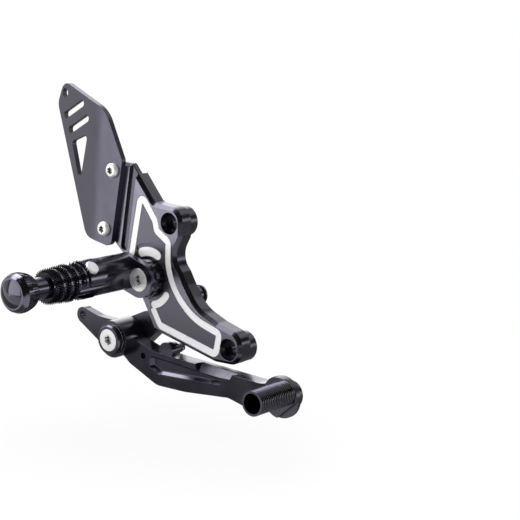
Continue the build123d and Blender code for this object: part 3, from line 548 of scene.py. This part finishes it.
class Growth(Nodes):
    """A Geometry Nodes tree with named inputs that ends in realised, finished geometry."""

    def __init__(self, name: str, from_line: bool = False) -> None:
        """Starts an empty tree with one geometry output.

        Args:
            name: The tree's name.
            from_line: Whether it starts from a curve, which is then its first input, Line.
        """
        self.group = bpy.data.node_groups.new(name, "GeometryNodeTree")
        super().__init__(self.group)
        sockets = self.group.interface
        sockets.new_socket(name="Geometry", in_out="OUTPUT", socket_type="NodeSocketGeometry")
        if from_line:
            sockets.new_socket(name="Line", in_out="INPUT", socket_type="NodeSocketGeometry")
        self.entry = self.add("NodeGroupInput")
        self.sizes: dict[str, object] = {}

    def size(self, name: str, value: object, kind: str = "Float") -> bpy.types.NodeSocket:
        """Adds a named input.

        Args:
            name: The input's name.
            value: What it is set to.
            kind: The socket's kind: Float, Int, Vector or Material.

        Returns:
            The socket that gives it inside the tree.
        """
        sockets = self.group.interface
        made = sockets.new_socket(name=name, in_out="INPUT", socket_type="NodeSocket" + kind)
        self.sizes[made.identifier] = value
        return self.entry.outputs[name]

    def finish(
        self, geometry: bpy.types.NodeSocket, material: bpy.types.Material, smooth: bool
    ) -> None:
        """Realises the geometry and gives it its material.

        Args:
            geometry: What the tree made.
            material: Its finish.
            smooth: Whether it is shaded smooth.
        """
        real = self.feed(self.add("GeometryNodeRealizeInstances"), Geometry=geometry)
        shade = self.add("GeometryNodeSetShadeSmooth")
        self.feed(shade, Geometry=real.outputs[0], Shade_Smooth=smooth)
        coated = self.feed(
            self.add("GeometryNodeSetMaterial"),
            Geometry=shade.outputs[0],
            Material=self.size("Finish", material, "Material"),
        )
        exit_node = self.add("NodeGroupOutput")
        self.tree.links.new(coated.outputs[0], exit_node.inputs[0])

    def piece(self, name: str, host_data: bpy.types.ID | None = None) -> bpy.types.Object:
        """Runs the tree and keeps its result as a plain mesh.

        Args:
            name: The piece's name.
            host_data: A curve or mesh that the tree starts from, if any.

        Returns:
            The new object, at the origin.
        """
        host = bpy.data.objects.new(name + "_host", host_data or bpy.data.meshes.new(name + "_host"))
        bpy.context.scene.collection.objects.link(host)
        modifier = host.modifiers.new("grow", "NODES")
        modifier.node_group = self.group
        for identifier, value in self.sizes.items():
            modifier[identifier] = value
        graph = bpy.context.evaluated_depsgraph_get()
        mesh = bpy.data.meshes.new_from_object(host.evaluated_get(graph), depsgraph=graph)
        bpy.data.objects.remove(host)
        made = bpy.data.objects.new(name, mesh)
        bpy.context.scene.collection.objects.link(made)
        return made


def dress(material: bpy.types.Material, *nodes: str) -> None:
    """Gives CAD nodes a material.

    Args:
        material: The finish.
        nodes: The CAD nodes' names.
    """
    for name in nodes:
        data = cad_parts[name].data
        data.materials.clear()
        data.materials.append(material)
        log.info("dressed %s in %s", name, material.name)


def settle(piece: bpy.types.Object, body: Body) -> None:
    """Makes a finished piece ride on a body.

    Args:
        piece: The piece.
        body: What it rides on.
    """
    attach(piece, body.value)
    log.info("%s: %d faces on %s", piece.name, len(piece.data.polygons), body.value)


@dataclass
class Bracket:
    """The milled bracket with its guard, carrier and fixed screws."""

    finish: AccentedAnodised = AccentedAnodised("bracket_anodised")
    plain: Anodised = Anodised("carrier_anodised", roughness=0.18, index=1.95)
    sheet: Anodised = Anodised(
        "guard_satin",
        colour=(0.009, 0.009, 0.011),
        roughness=0.34,
        grain_size=0.3,
        grain_depth=0.01,
        index=1.95,
    )
    bolts: Steel = Steel("stainless_bolts")

    def build(self) -> None:
        """Dresses the bracket's CAD nodes."""
        dress(self.finish.material(), "base_bracket")
        dress(self.sheet.material(), "heel_guard")
        dress(self.plain.material(), "peg_carrier", "spring_post", "pivot_washer")
        dress(self.bolts.material(), "heel_guard_screws", "carrier_bolt", "pivot_bolt")


@dataclass
class Footpeg:
    """The folding peg: its knurled grip, its end knob and the hinge's steel parts."""

    axis: Point = (-58.5, 0.0, 5.0)
    grip_start: float = -72.5
    grip_length: float = 30.5
    root_radius: float = 12.2
    tip_radius: float = 10.2
    first_row: float = 0.3
    row_pitch: float = 2.2
    rows_per_band: int = 2
    outer_rows: int = 3
    rings: int = 4
    teeth: int = 40
    tooth_height: float = 2.5
    tooth_sink: float = 0.9
    tooth_base: float = 0.56
    tooth_tip: float = 0.1
    ring_proud: float = 0.3
    ring_width: float = 1.6
    ring_thickness: float = 1.2
    ring_sides: int = 72
    arc_sides: int = 25
    gap_ease: float = 0.98
    slot_reach: float = 9.0
    slot_half: float = 6.4
    hinge_angle: float = 45.0
    knob_start: float = -114.6
    knob_length: float = 16.5
    knob_radius: float = 13.0
    knob_ridges: int = 46
    ridge_radius: float = 0.75
    ridge_sink: float = 0.45
    ridge_sides: int = 4
    ridge_line: tuple[Span, ...] = ((0.8, 0.13), (0.87, 0.22), (0.945, 0.38), (1.0, 0.56), (1.0, 0.74))
    finish: AccentedAnodised = AccentedAnodised(
        "peg_knurled",
        roughness=0.16,
        grain_depth=0.004,
        edge=0.12,
        index=2.1,
        # The margin colour on the grip's outer end face is painted shade: an almost unreflective metal
        # keeps that face dark.
        margin=(0.02, 0.02, 0.022),
        face=(-103.2, -102.8),
        groove=NOWHERE,
        panel=NOWHERE,
    )
    teeth_finish: Anodised = Anodised(
        "knurl_teeth", worn=(0.006, 0.006, 0.007), roughness=0.5, index=1.22
    )
    cap: Anodised = Anodised("cap_anodised", roughness=0.1, spread=0.02, grain_depth=0.001)
    steel: Steel = Steel("hinge_steel")
    wire: Steel = Steel("hinge_wire", colour=(0.6, 0.6, 0.61), dark=(0.45, 0.45, 0.46), roughness=0.26)
    coat: bpy.types.Material | None = field(default=None, init=False)
    teeth_coat: bpy.types.Material | None = field(default=None, init=False)

    def build(self) -> None:
        """Dresses the peg's CAD nodes and grows its knurls."""
        self.coat = self.finish.material()
        self.teeth_coat = self.teeth_finish.material()
        dress(self.coat, "footpeg", "peg_end_knob")
        dress(self.cap.material(), "peg_end_cap")
        dress(self.steel.material(), "peg_hinge_pin", "knob_bolt")
        dress(self.wire.material(), "hinge_clip", "peg_return_spring")
        settle(self.grip_knurl(), Body.PEG)
        settle(self.knob_knurl(), Body.PEG)
        settle(self.grip_rings(), Body.PEG)

    def grip_knurl(self) -> bpy.types.Object:
        """Rows of small pyramids along the grip.

        Places are left free for the smooth rings and for the fork's slot.

        Returns:
            The knurl as one mesh.
        """
        g = Growth("grip_knurl")
        pitch = g.size("Row pitch", self.row_pitch * MM)
        inset = g.size("First row", self.first_row * MM)
        around = g.size("Teeth around", self.teeth, "Int")
        per_band = g.size("Rows per band", self.rows_per_band, "Int")
        rings = g.size("Smooth rings", self.rings, "Int")
        inner_rows = 1 + (self.rings - 1) * self.rows_per_band
        rows = g.size("Rows", inner_rows + self.outer_rows, "Int")
        root = g.size("Radius at start", (self.root_radius - self.tooth_sink) * MM)
        taper = g.size("Taper", (self.root_radius - self.tip_radius) / self.grip_length)
        height = g.size("Tooth height", self.tooth_height * MM)
        start = g.size("Start", metres((self.axis[0], self.grip_start, self.axis[2])), "Vector")
        slot_end = g.size("Slot reach", self.slot_reach * MM)
        slot_half = g.size("Slot half width", self.slot_half * MM)
        index = g.add("GeometryNodeInputIndex").outputs[0]
        row = g.maths("FLOOR", g.maths("DIVIDE", index, around))
        tooth = g.maths("MODULO", index, around)
        whole_bands = g.maths("FLOOR", g.maths("DIVIDE", g.maths("SUBTRACT", row, 1.0), per_band))
        rings_passed = g.maths("MINIMUM", g.maths("ADD", whole_bands, 1.0), rings)
        along = g.maths("MULTIPLY_ADD", g.maths("ADD", row, rings_passed), pitch, inset)
        stagger = g.maths("MULTIPLY", g.maths("MODULO", row, 2.0), 0.5)
        turn = g.maths("MULTIPLY", g.maths("DIVIDE", g.maths("ADD", tooth, stagger), around), math.tau)
        radius = g.maths("SUBTRACT", root, g.maths("MULTIPLY", along, taper))
        offset = g.vector(
            g.maths("MULTIPLY", radius, g.maths("COSINE", turn)),
            g.maths("MULTIPLY", along, -1.0),
            g.maths("MULTIPLY", radius, g.maths("SINE", turn)),
        )
        count = g.maths("MULTIPLY", rows, around)
        points = g.feed(g.add("GeometryNodePoints"), Count=count, Position=g.added(start, offset))
        width = g.maths("DIVIDE", g.maths("MULTIPLY", root, math.tau), around)
        cone = g.add("GeometryNodeMeshCone", fill_type="NGON")
        g.feed(
            cone,
            Vertices=4,
            Radius_Top=g.maths("MULTIPLY", width, self.tooth_tip),
            Radius_Bottom=g.maths("MULTIPLY", width, self.tooth_base),
            Depth=height,
        )
        squared = (0.0, 0.0, math.radians(45))
        shaped = g.feed(g.add("GeometryNodeTransform"), Geometry=cone.outputs["Mesh"], Rotation=squared)
        from_hinge = g.maths("COSINE", g.maths("SUBTRACT", turn, math.radians(self.hinge_angle)))
        off_slot = g.maths("ABSOLUTE", g.maths("MULTIPLY", radius, from_hinge))
        clear = g.maths("SUBTRACT", off_slot, g.maths("MULTIPLY", width, 0.5))
        beside = g.maths("GREATER_THAN", clear, slot_half)
        beyond = g.maths("GREATER_THAN", along, slot_end)
        kept = g.maths("MAXIMUM", beside, beyond)
        lean = g.vector(0.0, g.maths("SUBTRACT", math.radians(90), turn), 0.0)
        spun = g.feed(g.add("FunctionNodeEulerToRotation"), Euler=lean)
        shrink = g.maths("DIVIDE", radius, root)
        copies = g.feed(
            g.add("GeometryNodeInstanceOnPoints"),
            Points=points.outputs[0],
            Selection=kept,
            Instance=shaped.outputs[0],
            Rotation=spun.outputs[0],
            Scale=g.vector(shrink, 1.0, 1.0),
        )
        g.finish(copies.outputs[0], self.teeth_coat, False)
        return g.piece("grip_knurl")

    def grip_rings(self) -> bpy.types.Object:
        """Smooth turned rings between the grip's bands, the first one cut through by the fork's slot.

        Returns:
            The rings as one mesh.
        """
        g = Growth("grip_rings")
        count = g.size("Whole rings", self.rings - 1, "Int")
        step = g.size("Ring step", (self.rows_per_band + 1) * self.row_pitch * MM)
        first = g.size("First ring", (self.first_row + self.row_pitch) * MM)
        root = g.size("Radius at start", (self.root_radius + self.ring_proud) * MM)
        taper = g.size("Taper", (self.root_radius - self.tip_radius) / self.grip_length)
        wide = g.size("Width", self.ring_width * MM)
        thick = g.size("Thickness", self.ring_thickness * MM)
        start = g.size("Start", metres((self.axis[0], self.grip_start, self.axis[2])), "Vector")
        slot_half = g.size("Slot half width", self.slot_half * MM)
        index = g.add("GeometryNodeInputIndex").outputs[0]
        along = g.maths("MULTIPLY_ADD", g.maths("ADD", index, 1.0), step, first)
        middle = g.maths("SUBTRACT", root, g.maths("MULTIPLY", thick, 0.5))
        circle = g.add("GeometryNodeCurvePrimitiveCircle")
        g.feed(circle, Resolution=self.ring_sides, Radius=middle)
        inner = g.maths("SUBTRACT", root, thick)
        eased = g.maths("MULTIPLY", inner, self.gap_ease)
        gap = g.maths("ARCSINE", g.maths("DIVIDE", slot_half, eased))
        arc = g.feed(
            g.add("GeometryNodeCurveArc"),
            Resolution=self.arc_sides,
            Radius=middle,
            Start_Angle=g.maths("SUBTRACT", gap, math.radians(90 - self.hinge_angle)),
            Sweep_Angle=g.maths("SUBTRACT", math.pi, g.maths("MULTIPLY", gap, 2.0)),
        )
        section = g.feed(g.add("GeometryNodeCurvePrimitiveQuadrilateral"), Width=thick, Height=wide)
        both = g.add("GeometryNodeJoinGeometry")
        half_turns = g.maths("MULTIPLY", index, math.pi)
        for line, number, distance, turn in ((circle, count, along, 0.0), (arc, 2, first, half_turns)):
            place = g.added(start, g.vector(0.0, g.maths("MULTIPLY", distance, -1.0), 0.0))
            points = g.feed(g.add("GeometryNodePoints"), Count=number, Position=place)
            ring = g.feed(
                g.add("GeometryNodeCurveToMesh"),
                Curve=line.outputs[0],
                Profile_Curve=section.outputs[0],
                Fill_Caps=True,
            )
            turned = g.feed(g.add("GeometryNodeTransform"), Geometry=ring.outputs[0], Rotation=ON_EDGE)
            narrowing = g.maths("DIVIDE", g.maths("MULTIPLY", distance, taper), root)
            shrink = g.maths("SUBTRACT", 1.0, narrowing)
            spun = g.feed(g.add("FunctionNodeEulerToRotation"), Euler=g.vector(0.0, turn, 0.0))
            copies = g.feed(
                g.add("GeometryNodeInstanceOnPoints"),
                Points=points.outputs[0],
                Instance=turned.outputs[0],
                Rotation=spun.outputs[0],
                Scale=g.vector(shrink, 1.0, shrink),
            )
            g.join(copies.outputs[0], both.inputs[0])
        g.finish(both.outputs[0], self.coat, False)
        return g.piece("grip_rings")

    def knob_knurl(self) -> bpy.types.Object:
        """Fine straight ridges round the knob's rim.

        Returns:
            The ridges as one mesh.
        """
        g = Growth("knob_knurl", from_line=True)
        count = g.size("Ridges", self.knob_ridges, "Int")
        thick = g.size("Ridge radius", self.ridge_radius * MM)
        centre = g.size("Centre", metres(self.axis), "Vector")
        line = bpy.data.curves.new("knob_ridge", "CURVE")
        line.dimensions = "3D"
        run = line.splines.new("POLY")
        run.points.add(len(self.ridge_line) - 1)
        for point, (radius, along) in zip(run.points, self.ridge_line):
            y = self.knob_start - along * self.knob_length
            point.co = (*metres((radius * self.knob_radius - self.ridge_sink, y, 0.0)), 1.0)
        shape = g.add("GeometryNodeCurvePrimitiveCircle")
        g.feed(shape, Resolution=self.ridge_sides, Radius=thick)
        ridge = g.feed(
            g.add("GeometryNodeCurveToMesh"),
            Curve=g.entry.outputs["Line"],
            Profile_Curve=shape.outputs[0],
            Fill_Caps=True,
        )
        index = g.add("GeometryNodeInputIndex").outputs[0]
        turn = g.maths("MULTIPLY", g.maths("DIVIDE", index, count), math.tau)
        spun = g.feed(g.add("FunctionNodeEulerToRotation"), Euler=g.vector(0.0, turn, 0.0))
        points = g.feed(g.add("GeometryNodePoints"), Count=count, Position=centre)
        copies = g.feed(
            g.add("GeometryNodeInstanceOnPoints"),
            Points=points.outputs[0],
            Instance=ridge.outputs[0],
            Rotation=spun.outputs[0],
        )
        g.finish(copies.outputs[0], self.teeth_coat, False)
        return g.piece("knob_knurl", line)


@dataclass
class Lever:
    """The brake lever, its bearings, its toe piece and the return spring."""

    post: Point = (-13.6, -3.2, -10.0)
    pin: Point = (-30.0, -3.2, -49.5)
    coil_radius: float = 2.3
    wire: float = 1.2
    post_ring: float = 4.1
    pin_ring: float = 2.6
    turns: int = 22
    lead: float = 3.6
    per_turn: int = 14
    wire_sides: int = 10
    hook_gap: float = 0.6
    hook_steps: int = 18
    hook_turn: float = 300.0
    pocket_ends: Span = (-29.0, 15.0)
    pocket_edge: Span = (-64.4, -63.4)
    pocket_face: float = -23.9
    pocket_bevel: Span = (1.6, 2.0)
    pocket_floor: float = -20.7
    finish: Anodised = Anodised("lever_anodised", roughness=0.22)
    edge_finish: Anodised = Anodised("lever_cut_edge", roughness=0.14, spread=0.03, index=2.3)
    toe: RibbedAnodised = RibbedAnodised("toe_ribbed", roughness=0.3, edge=0.12)
    steel: Steel = Steel("toe_bolt_steel")
    ground: Steel = Steel("bearing_ground", roughness=0.15)
    spring: Steel = Steel(
        "spring_wire", colour=(0.62, 0.62, 0.63), dark=(0.45, 0.45, 0.47), roughness=0.24
    )

    def build(self) -> None:
        """Dresses the lever's CAD nodes and winds its spring."""
        dress(self.finish.material(), "brake_lever", "lever_spring_pin")
        dress(self.toe.material(), "toe_peg")
        dress(self.steel.material(), "toe_peg_bolt")
        dress(self.ground.material(), "lever_bearings", "pivot_sleeve")
        settle(self.pocket_slope(), Body.LEVER)
        coil = self.wind()
        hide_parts("return_spring")
        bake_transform(coil)
        log.info("%s: %d faces between bracket and lever", coil.name, len(coil.data.polygons))

    def pocket_slope(self) -> bpy.types.Object:
        """The slanted lower side of the lever's pocket, which catches the light.

        Returns:
            A slim wedge along the pocket.
        """
        deep, high = self.pocket_bevel
        corners = []
        for x, edge in zip(self.pocket_ends, self.pocket_edge):
            corners.append(metres((x, self.pocket_face, edge)))
            corners.append(metres((x, self.pocket_face + deep, edge + high)))
            corners.append(metres((x, self.pocket_floor, edge + high)))
            corners.append(metres((x, self.pocket_floor, edge)))
        sides = [(0, 4, 5, 1), (1, 5, 6, 2), (2, 6, 7, 3), (3, 7, 4, 0), (0, 1, 2, 3), (7, 6, 5, 4)]
        data = bpy.data.meshes.new("pocket_slope")
        data.from_pydata(corners, [], sides)
        data.materials.append(self.edge_finish.material())
        made = bpy.data.objects.new("pocket_slope", data)
        bpy.context.scene.collection.objects.link(made)
        return made

    def path(self) -> list[Vector]:
        """The wire's line: a hook round the post, the coil, and a hook round the pin.

        Returns:
            Points in metres.
        """
        post, pin = Vector(self.post), Vector(self.pin)
        pull = (pin - post).normalized()
        side = Vector((0.0, 1.0, 0.0))
        cross = pull.cross(side)
        span = (pin - post).length
        first, last = self.post_ring + self.hook_gap, span - self.pin_ring - self.hook_gap
        steps = self.turns * self.per_turn
        hook = math.radians(self.hook_turn)
        points = []
        for k in range(self.hook_steps):
            angle = hook * (1 - k / self.hook_steps)
            points.append(post + (pull * math.cos(angle) + cross * math.sin(angle)) * self.post_ring)
        for k in range(steps + 1):
            along = first + (last - first) * k / steps
            near = min(along - first, last - along)
            share = min(1.0, near / self.lead)
            radius = self.coil_radius * share * share * (3 - 2 * share)
            angle = math.tau * k / self.per_turn
            outward = side * math.cos(angle) + cross * math.sin(angle)
            points.append(post + pull * along + outward * radius)
        for k in range(1, self.hook_steps + 1):
            angle = hook * k / self.hook_steps
            points.append(pin - (pull * math.cos(angle) + cross * math.sin(angle)) * self.pin_ring)
        return [p * MM for p in points]

    def wind(self) -> bpy.types.Object:
        """Sweeps the wire along its line.

        Returns:
            The spring as one mesh.
        """
        g = Growth("return_spring", from_line=True)
        thick = g.size("Wire radius", self.wire / 2 * MM)
        line = bpy.data.curves.new("spring_line", "CURVE")
        line.dimensions = "3D"
        run = line.splines.new("POLY")
        points = self.path()
        run.points.add(len(points) - 1)
        for point, place in zip(run.points, points):
            point.co = (*place, 1.0)
        shape = g.add("GeometryNodeCurvePrimitiveCircle")
        g.feed(shape, Resolution=self.wire_sides, Radius=thick)
        wire = g.feed(
            g.add("GeometryNodeCurveToMesh"),
            Curve=g.entry.outputs["Line"],
            Profile_Curve=shape.outputs[0],
            Fill_Caps=True,
        )
        g.finish(wire.outputs[0], self.spring.material(), True)
        return g.piece("wound_spring", line)


@dataclass(frozen=True)
class Glow:
    """A soft-edged bright patch of the studio that gloss mirrors.

    Azimuth runs in degrees from the left (-X) towards the back (+Y), elevation from the horizon up.
    """

    azimuth: Span
    elevation: Span
    level: float
    soft: float = 5.0


@dataclass
class Studio:
    """A white floor, a white studio with soft lights, and the camera."""

    target: Point = (53.274, -18.0, 24.042)
    towards_camera: Point = (0.61898, -0.76438, 0.18052)
    distance: float = 1000.0
    lens: float = 107.38
    sensor: float = 36.0
    clip: Span = (10.0, 100000.0)
    floor_size: float = 12000.0
    floor_drop: float = 30.0
    floor_colour: Colour = (0.2, 0.2, 0.2)
    floor_lift: float = 0.76
    board_lift: float = 1.05
    board_edge: Span = (-271.0, -236.0)
    board_end: Span = (-606.0, -506.0)
    wing_side: Span = (-35.0, 0.0)
    wing_edge: Span = (-70.0, -50.0)
    daylight: float = 1.28
    dark: float = 0.016
    glows: tuple[Glow, ...] = (
        Glow((-12, 75), (-30, 35), 0.88),
        Glow((75, 158), (-29, 8), 2.72),
        Glow((85, 130), (30, 46), 1.12),
        Glow((38, 75), (2, 26), 1.76),
        Glow((42, 78), (27, 42), 1.6),
        Glow((-58, 55), (38, 82), 6.8),
        Glow((-86, -40), (-11, 45), 3.36, 2.5),
        Glow((-34, -12), (-30, 33), 0.8),
    )

    def build(self) -> None:
        """Makes the camera, the floor and the world."""
        self.camera()
        self.floor()
        self.world()

    def camera(self) -> None:
        """Sets the camera at the photograph's angle."""
        data = bpy.data.cameras.new("camera")
        data.lens = self.lens
        data.sensor_width = self.sensor
        data.clip_start, data.clip_end = (distance * MM for distance in self.clip)
        made = bpy.data.objects.new("camera", data)
        bpy.context.scene.collection.objects.link(made)
        back = Vector(self.towards_camera).normalized()
        made.location = metres(self.target) + back * self.distance * MM
        made.rotation_euler = (-back).to_track_quat("-Z", "Y").to_euler()
        bpy.context.scene.camera = made

    def floor(self) -> None:
        """Lays a plain white floor a fixed drop below the part's lowest point at rest, meant to clear
        the lever's swing.
        """
        low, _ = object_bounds()
        half = self.floor_size / 2 * MM
        level = low.z - self.floor_drop * MM
        data = bpy.data.meshes.new("floor")
        corners = [(-half, -half), (half, -half), (half, half), (-half, half)]
        data.from_pydata([(x, y, level) for x, y in corners], [], [(0, 1, 2, 3)])
        made = bpy.data.objects.new("floor", data)
        bpy.context.scene.collection.objects.link(made)
        s = Surface("floor_white")
        s.tree.nodes.remove(s.shader)
        path = s.add("ShaderNodeLightPath")
        seen = s.maths("MULTIPLY", path.outputs["Is Camera Ray"], self.floor_lift)
        board, reach = self.board(s)
        mirrored = s.maths("MULTIPLY", board, self.board_lift)
        shown = s.maths("MULTIPLY_ADD", path.outputs["Is Glossy Ray"], mirrored, seen)
        matt = s.feed(s.add("ShaderNodeBsdfDiffuse"), Color=(*self.floor_colour, 1.0))
        lift = s.feed(s.add("ShaderNodeEmission"), Strength=shown)
        white = s.add("ShaderNodeAddShader")
        s.join(matt.outputs[0], white.inputs[0])
        s.join(lift.outputs[0], white.inputs[1])
        clear = s.add("ShaderNodeBsdfTransparent")
        unseen = s.maths("MULTIPLY", path.outputs["Is Glossy Ray"], s.maths("SUBTRACT", 1.0, reach))
        out = s.add("ShaderNodeMixShader")
        for value, socket in zip((unseen, white.outputs[0], clear.outputs[0]), out.inputs):
            s.join(value, socket)
        s.join(out.outputs[0], s.output.inputs[0])
        data.materials.append(s.material)
        made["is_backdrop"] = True
        log.info("floor laid %.0f mm below the part", self.floor_drop)

    def board(self, s: Surface) -> tuple[bpy.types.NodeSocket, bpy.types.NodeSocket]:
        """Where the floor is bright in gloss, and where gloss sees it at all.

        Args:
            s: The floor's surface.

        Returns:
            1 on the bright board in front of the part and on its wing beside the toe,
            and 1 nearer than the board's far end.
        """
        x, y, _ = s.feed(s.add("ShaderNodeSeparateXYZ"), Vector=s.place).outputs
        spans = (self.board_edge, self.board_end, self.wing_side, self.wing_edge)
        near, far, side, edge = ([v * MM for v in span] for span in spans)
        front = s.ramp(y, *near, 1.0, 0.0)
        wing = s.maths("MULTIPLY", s.ramp(x, *side, 0.0, 1.0), s.ramp(y, *edge, 1.0, 0.0))
        return s.maths("MAXIMUM", front, wing), s.ramp(y, *far, 0.0, 1.0)

    def world(self) -> None:
        """Lights the studio evenly and shows its lights and dark corners to glossy rays."""
        made = bpy.data.worlds.new("studio")
        made.use_nodes = True
        made.cycles.sampling_method = "NONE"
        bpy.context.scene.world = made
        n = Nodes(made.node_tree)
        n.tree.nodes.clear()
        output = n.add("ShaderNodeOutputWorld")
        light = n.feed(n.add("ShaderNodeBackground"), Color=(1.0, 1.0, 1.0, 1.0))
        path = n.add("ShaderNodeLightPath")
        split = n.add("ShaderNodeSeparateXYZ")
        n.feed(split, Vector=n.add("ShaderNodeTexCoord").outputs["Generated"])
        x, y, z = split.outputs
        azimuth = n.maths("DEGREES", n.maths("ARCTAN2", y, n.maths("MULTIPLY", x, -1.0)))
        elevation = n.maths("DEGREES", n.maths("ARCSINE", z))
        mirrored = self.dark
        for glow in self.glows:
            share = n.maths(
                "MULTIPLY",
                self.window(n, azimuth, glow.azimuth, glow.soft),
                self.window(n, elevation, glow.elevation, glow.soft),
            )
            mirrored = n.maths("MULTIPLY_ADD", share, glow.level, mirrored)
        level = n.mix_number(path.outputs["Is Glossy Ray"], self.daylight, mirrored)
        level = n.mix_number(path.outputs["Is Camera Ray"], level, 1.0)
        n.join(level, light.inputs["Strength"])
        n.tree.links.new(light.outputs[0], output.inputs[0])

    @staticmethod
    def window(
        n: Nodes, angle: bpy.types.NodeSocket, span: Span, soft: float
    ) -> bpy.types.NodeSocket:
        """A soft window over an angle.

        Args:
            n: The tree to fill.
            angle: The angle in degrees.
            span: Where the window starts and ends.
            soft: Half the width of its soft edges.

        Returns:
            1 inside the span and 0 outside.
        """
        rise = n.ramp(angle, span[0] - soft, span[0] + soft, 0.0, 1.0)
        fall = n.ramp(angle, span[1] - soft, span[1] + soft, 1.0, 0.0)
        return n.maths("MULTIPLY", rise, fall)


def main() -> None:
    """Builds every part of the picture in order."""
    logging.basicConfig(level=logging.INFO)
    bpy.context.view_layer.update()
    bpy.context.scene.view_settings.view_transform = "Standard"
    for part in (Bracket(), Footpeg(), Lever(), Studio()):
        part.build()


if __name__ == "__main__":
    main()
